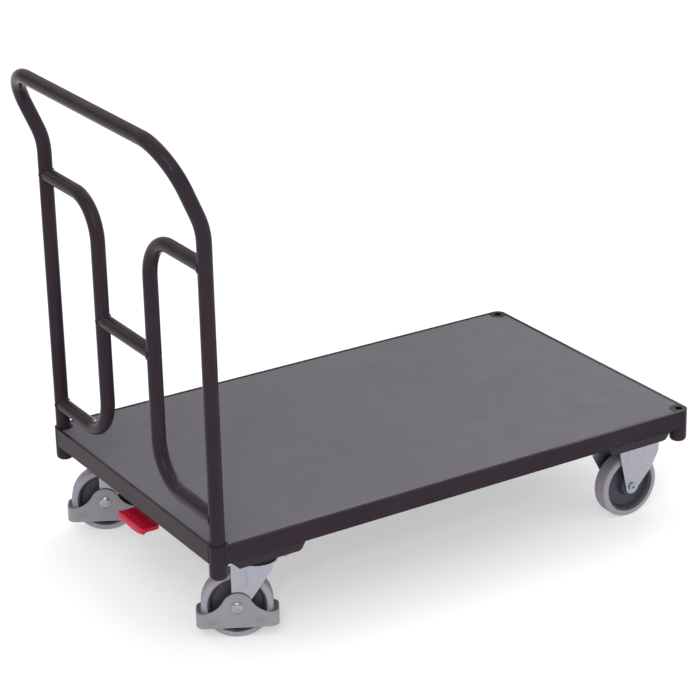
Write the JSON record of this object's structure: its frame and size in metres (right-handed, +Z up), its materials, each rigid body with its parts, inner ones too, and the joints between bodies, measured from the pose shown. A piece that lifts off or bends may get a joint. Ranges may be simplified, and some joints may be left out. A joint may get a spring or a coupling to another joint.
{
  "type": "platform cart",
  "caption": "Flat-deck push cart with a plug-in tubular handle, braked swivel castors with foot guards at the handle end and fixed castors at the front.",
  "frame": {"origin": "on the floor, under the middle of the overall box", "axes": "+X towards the front end with the fixed castors, +Y to the cart's left, +Z up"},
  "size_m": [1.0708, 0.6246, 0.9228],
  "materials": {
    "frame_paint": "semi-gloss powder coat",
    "deck_laminate": "satin laminate",
    "zinc": "bright zinc plate",
    "steel": "ground",
    "tyre_rubber": "matte moulded rubber",
    "rim_plastic": "moulded",
    "guard_plastic": "moulded",
    "black_plastic": "moulded",
    "red_plastic": "moulded"
  },
  "bodies": {
    "frame": {"deck_panel": "deck_laminate", "rail_left": "frame_paint", "rail_right": "frame_paint", "rail_rear": "frame_paint", "rail_front": "frame_paint", "corner_posts_rear": "frame_paint", "corner_posts_front": "frame_paint", "post_foot_caps": "frame_paint", "front_post_plugs": "black_plastic", "cross_members": "frame_paint", "deck_screws": "zinc", "tray_rear_left": "frame_paint", "tray_rear_right": "frame_paint", "tray_front_left": "frame_paint", "tray_front_right": "frame_paint", "castor_bolts": "zinc", "castor_nuts": "zinc", "swivel_plates": "zinc", "kingpins": "zinc", "bearing_balls": "steel", "swivel_seals": "black_plastic", "fixed_fork_left": "zinc", "fixed_fork_right": "zinc", "front_axles": "zinc", "front_axle_nuts": "zinc", "shaft_bushes": "black_plastic", "plunger_spring_left": "steel", "plunger_spring_right": "steel"},
    "handle": {"handle_uprights": "frame_paint", "handle_bow": "frame_paint", "handle_loop_left": "frame_paint", "handle_loop_right": "frame_paint", "handle_crossbar": "frame_paint"},
    "brake": {"brake_shaft": "zinc", "brake_levers": "zinc", "pedal_arm": "frame_paint", "brake_pedal": "red_plastic"},
    "plunger_left": {"plunger_left": "zinc"},
    "plunger_right": {"plunger_right": "zinc"},
    "swivel_left": {"swivel_fork_left": "zinc", "rear_axle_left": "zinc", "rear_axle_nut_left": "zinc"},
    "swivel_right": {"swivel_fork_right": "zinc", "rear_axle_right": "zinc", "rear_axle_nut_right": "zinc"},
    "guard_left": {"foot_guard_left": "guard_plastic"},
    "guard_right": {"foot_guard_right": "guard_plastic"},
    "wheel_rear_left": {"tyre_rear_left": "tyre_rubber", "rim_rear_left": "rim_plastic", "bearings_rear_left": "steel"},
    "wheel_rear_right": {"tyre_rear_right": "tyre_rubber", "rim_rear_right": "rim_plastic", "bearings_rear_right": "steel"},
    "wheel_front_left": {"tyre_front_left": "tyre_rubber", "rim_front_left": "rim_plastic", "bearings_front_left": "steel"},
    "wheel_front_right": {"tyre_front_right": "tyre_rubber", "rim_front_right": "rim_plastic", "bearings_front_right": "steel"}
  },
  "joints": [
    {"name": "handle_lift", "type": "slide", "parent": "frame", "child": "handle", "axis": [0, 0, 1], "range_m": [0, 0.045]},
    {"name": "brake_pedal_turn", "type": "hinge", "parent": "frame", "child": "brake", "pos_m": [-0.35011, 0, 0.177], "axis": [0, -1, 0], "range_deg": [0, 17]},
    {"name": "plunger_left_press", "type": "slide", "parent": "frame", "child": "plunger_left", "axis": [0, 0, -1], "range_m": [0, 0.0041], "deforming": ["plunger_spring_left"]},
    {"name": "swivel_left_turn", "type": "hinge", "parent": "frame", "child": "swivel_left", "pos_m": [-0.36611, 0.249, 0.146], "axis": [0, 0, 1], "continuous": true},
    {"name": "guard_left_lift", "type": "slide", "parent": "swivel_left", "child": "guard_left", "axis": [0, 0, 1], "range_m": [0, 0.0055]},
    {"name": "wheel_rear_left_spin", "type": "hinge", "parent": "swivel_left", "child": "wheel_rear_left", "pos_m": [-0.39759, 0.26645, 0.0625], "axis": [0.4848, 0.8746, 0], "continuous": true},
    {"name": "wheel_front_left_spin", "type": "hinge", "parent": "frame", "child": "wheel_front_left", "pos_m": [0.43939, 0.237, 0.0625], "axis": [0, 1, 0], "continuous": true},
    {"name": "plunger_right_press", "type": "slide", "parent": "frame", "child": "plunger_right", "axis": [0, 0, -1], "range_m": [0, 0.0041], "deforming": ["plunger_spring_right"]},
    {"name": "swivel_right_turn", "type": "hinge", "parent": "frame", "child": "swivel_right", "pos_m": [-0.36611, -0.249, 0.146], "axis": [0, 0, 1], "continuous": true},
    {"name": "guard_right_lift", "type": "slide", "parent": "swivel_right", "child": "guard_right", "axis": [0, 0, 1], "range_m": [0, 0.0055]},
    {"name": "wheel_rear_right_spin", "type": "hinge", "parent": "swivel_right", "child": "wheel_rear_right", "pos_m": [-0.39759, -0.23155, 0.0625], "axis": [0.4848, 0.8746, 0], "continuous": true},
    {"name": "wheel_front_right_spin", "type": "hinge", "parent": "frame", "child": "wheel_front_right", "pos_m": [0.43939, -0.237, 0.0625], "axis": [0, 1, 0], "continuous": true}
  ],
  "couplings": [
    {"joint": "plunger_left_press", "follows": "brake_pedal_turn", "m_per_rad": 0.013481},
    {"joint": "plunger_right_press", "follows": "brake_pedal_turn", "m_per_rad": 0.013481}
  ]
}
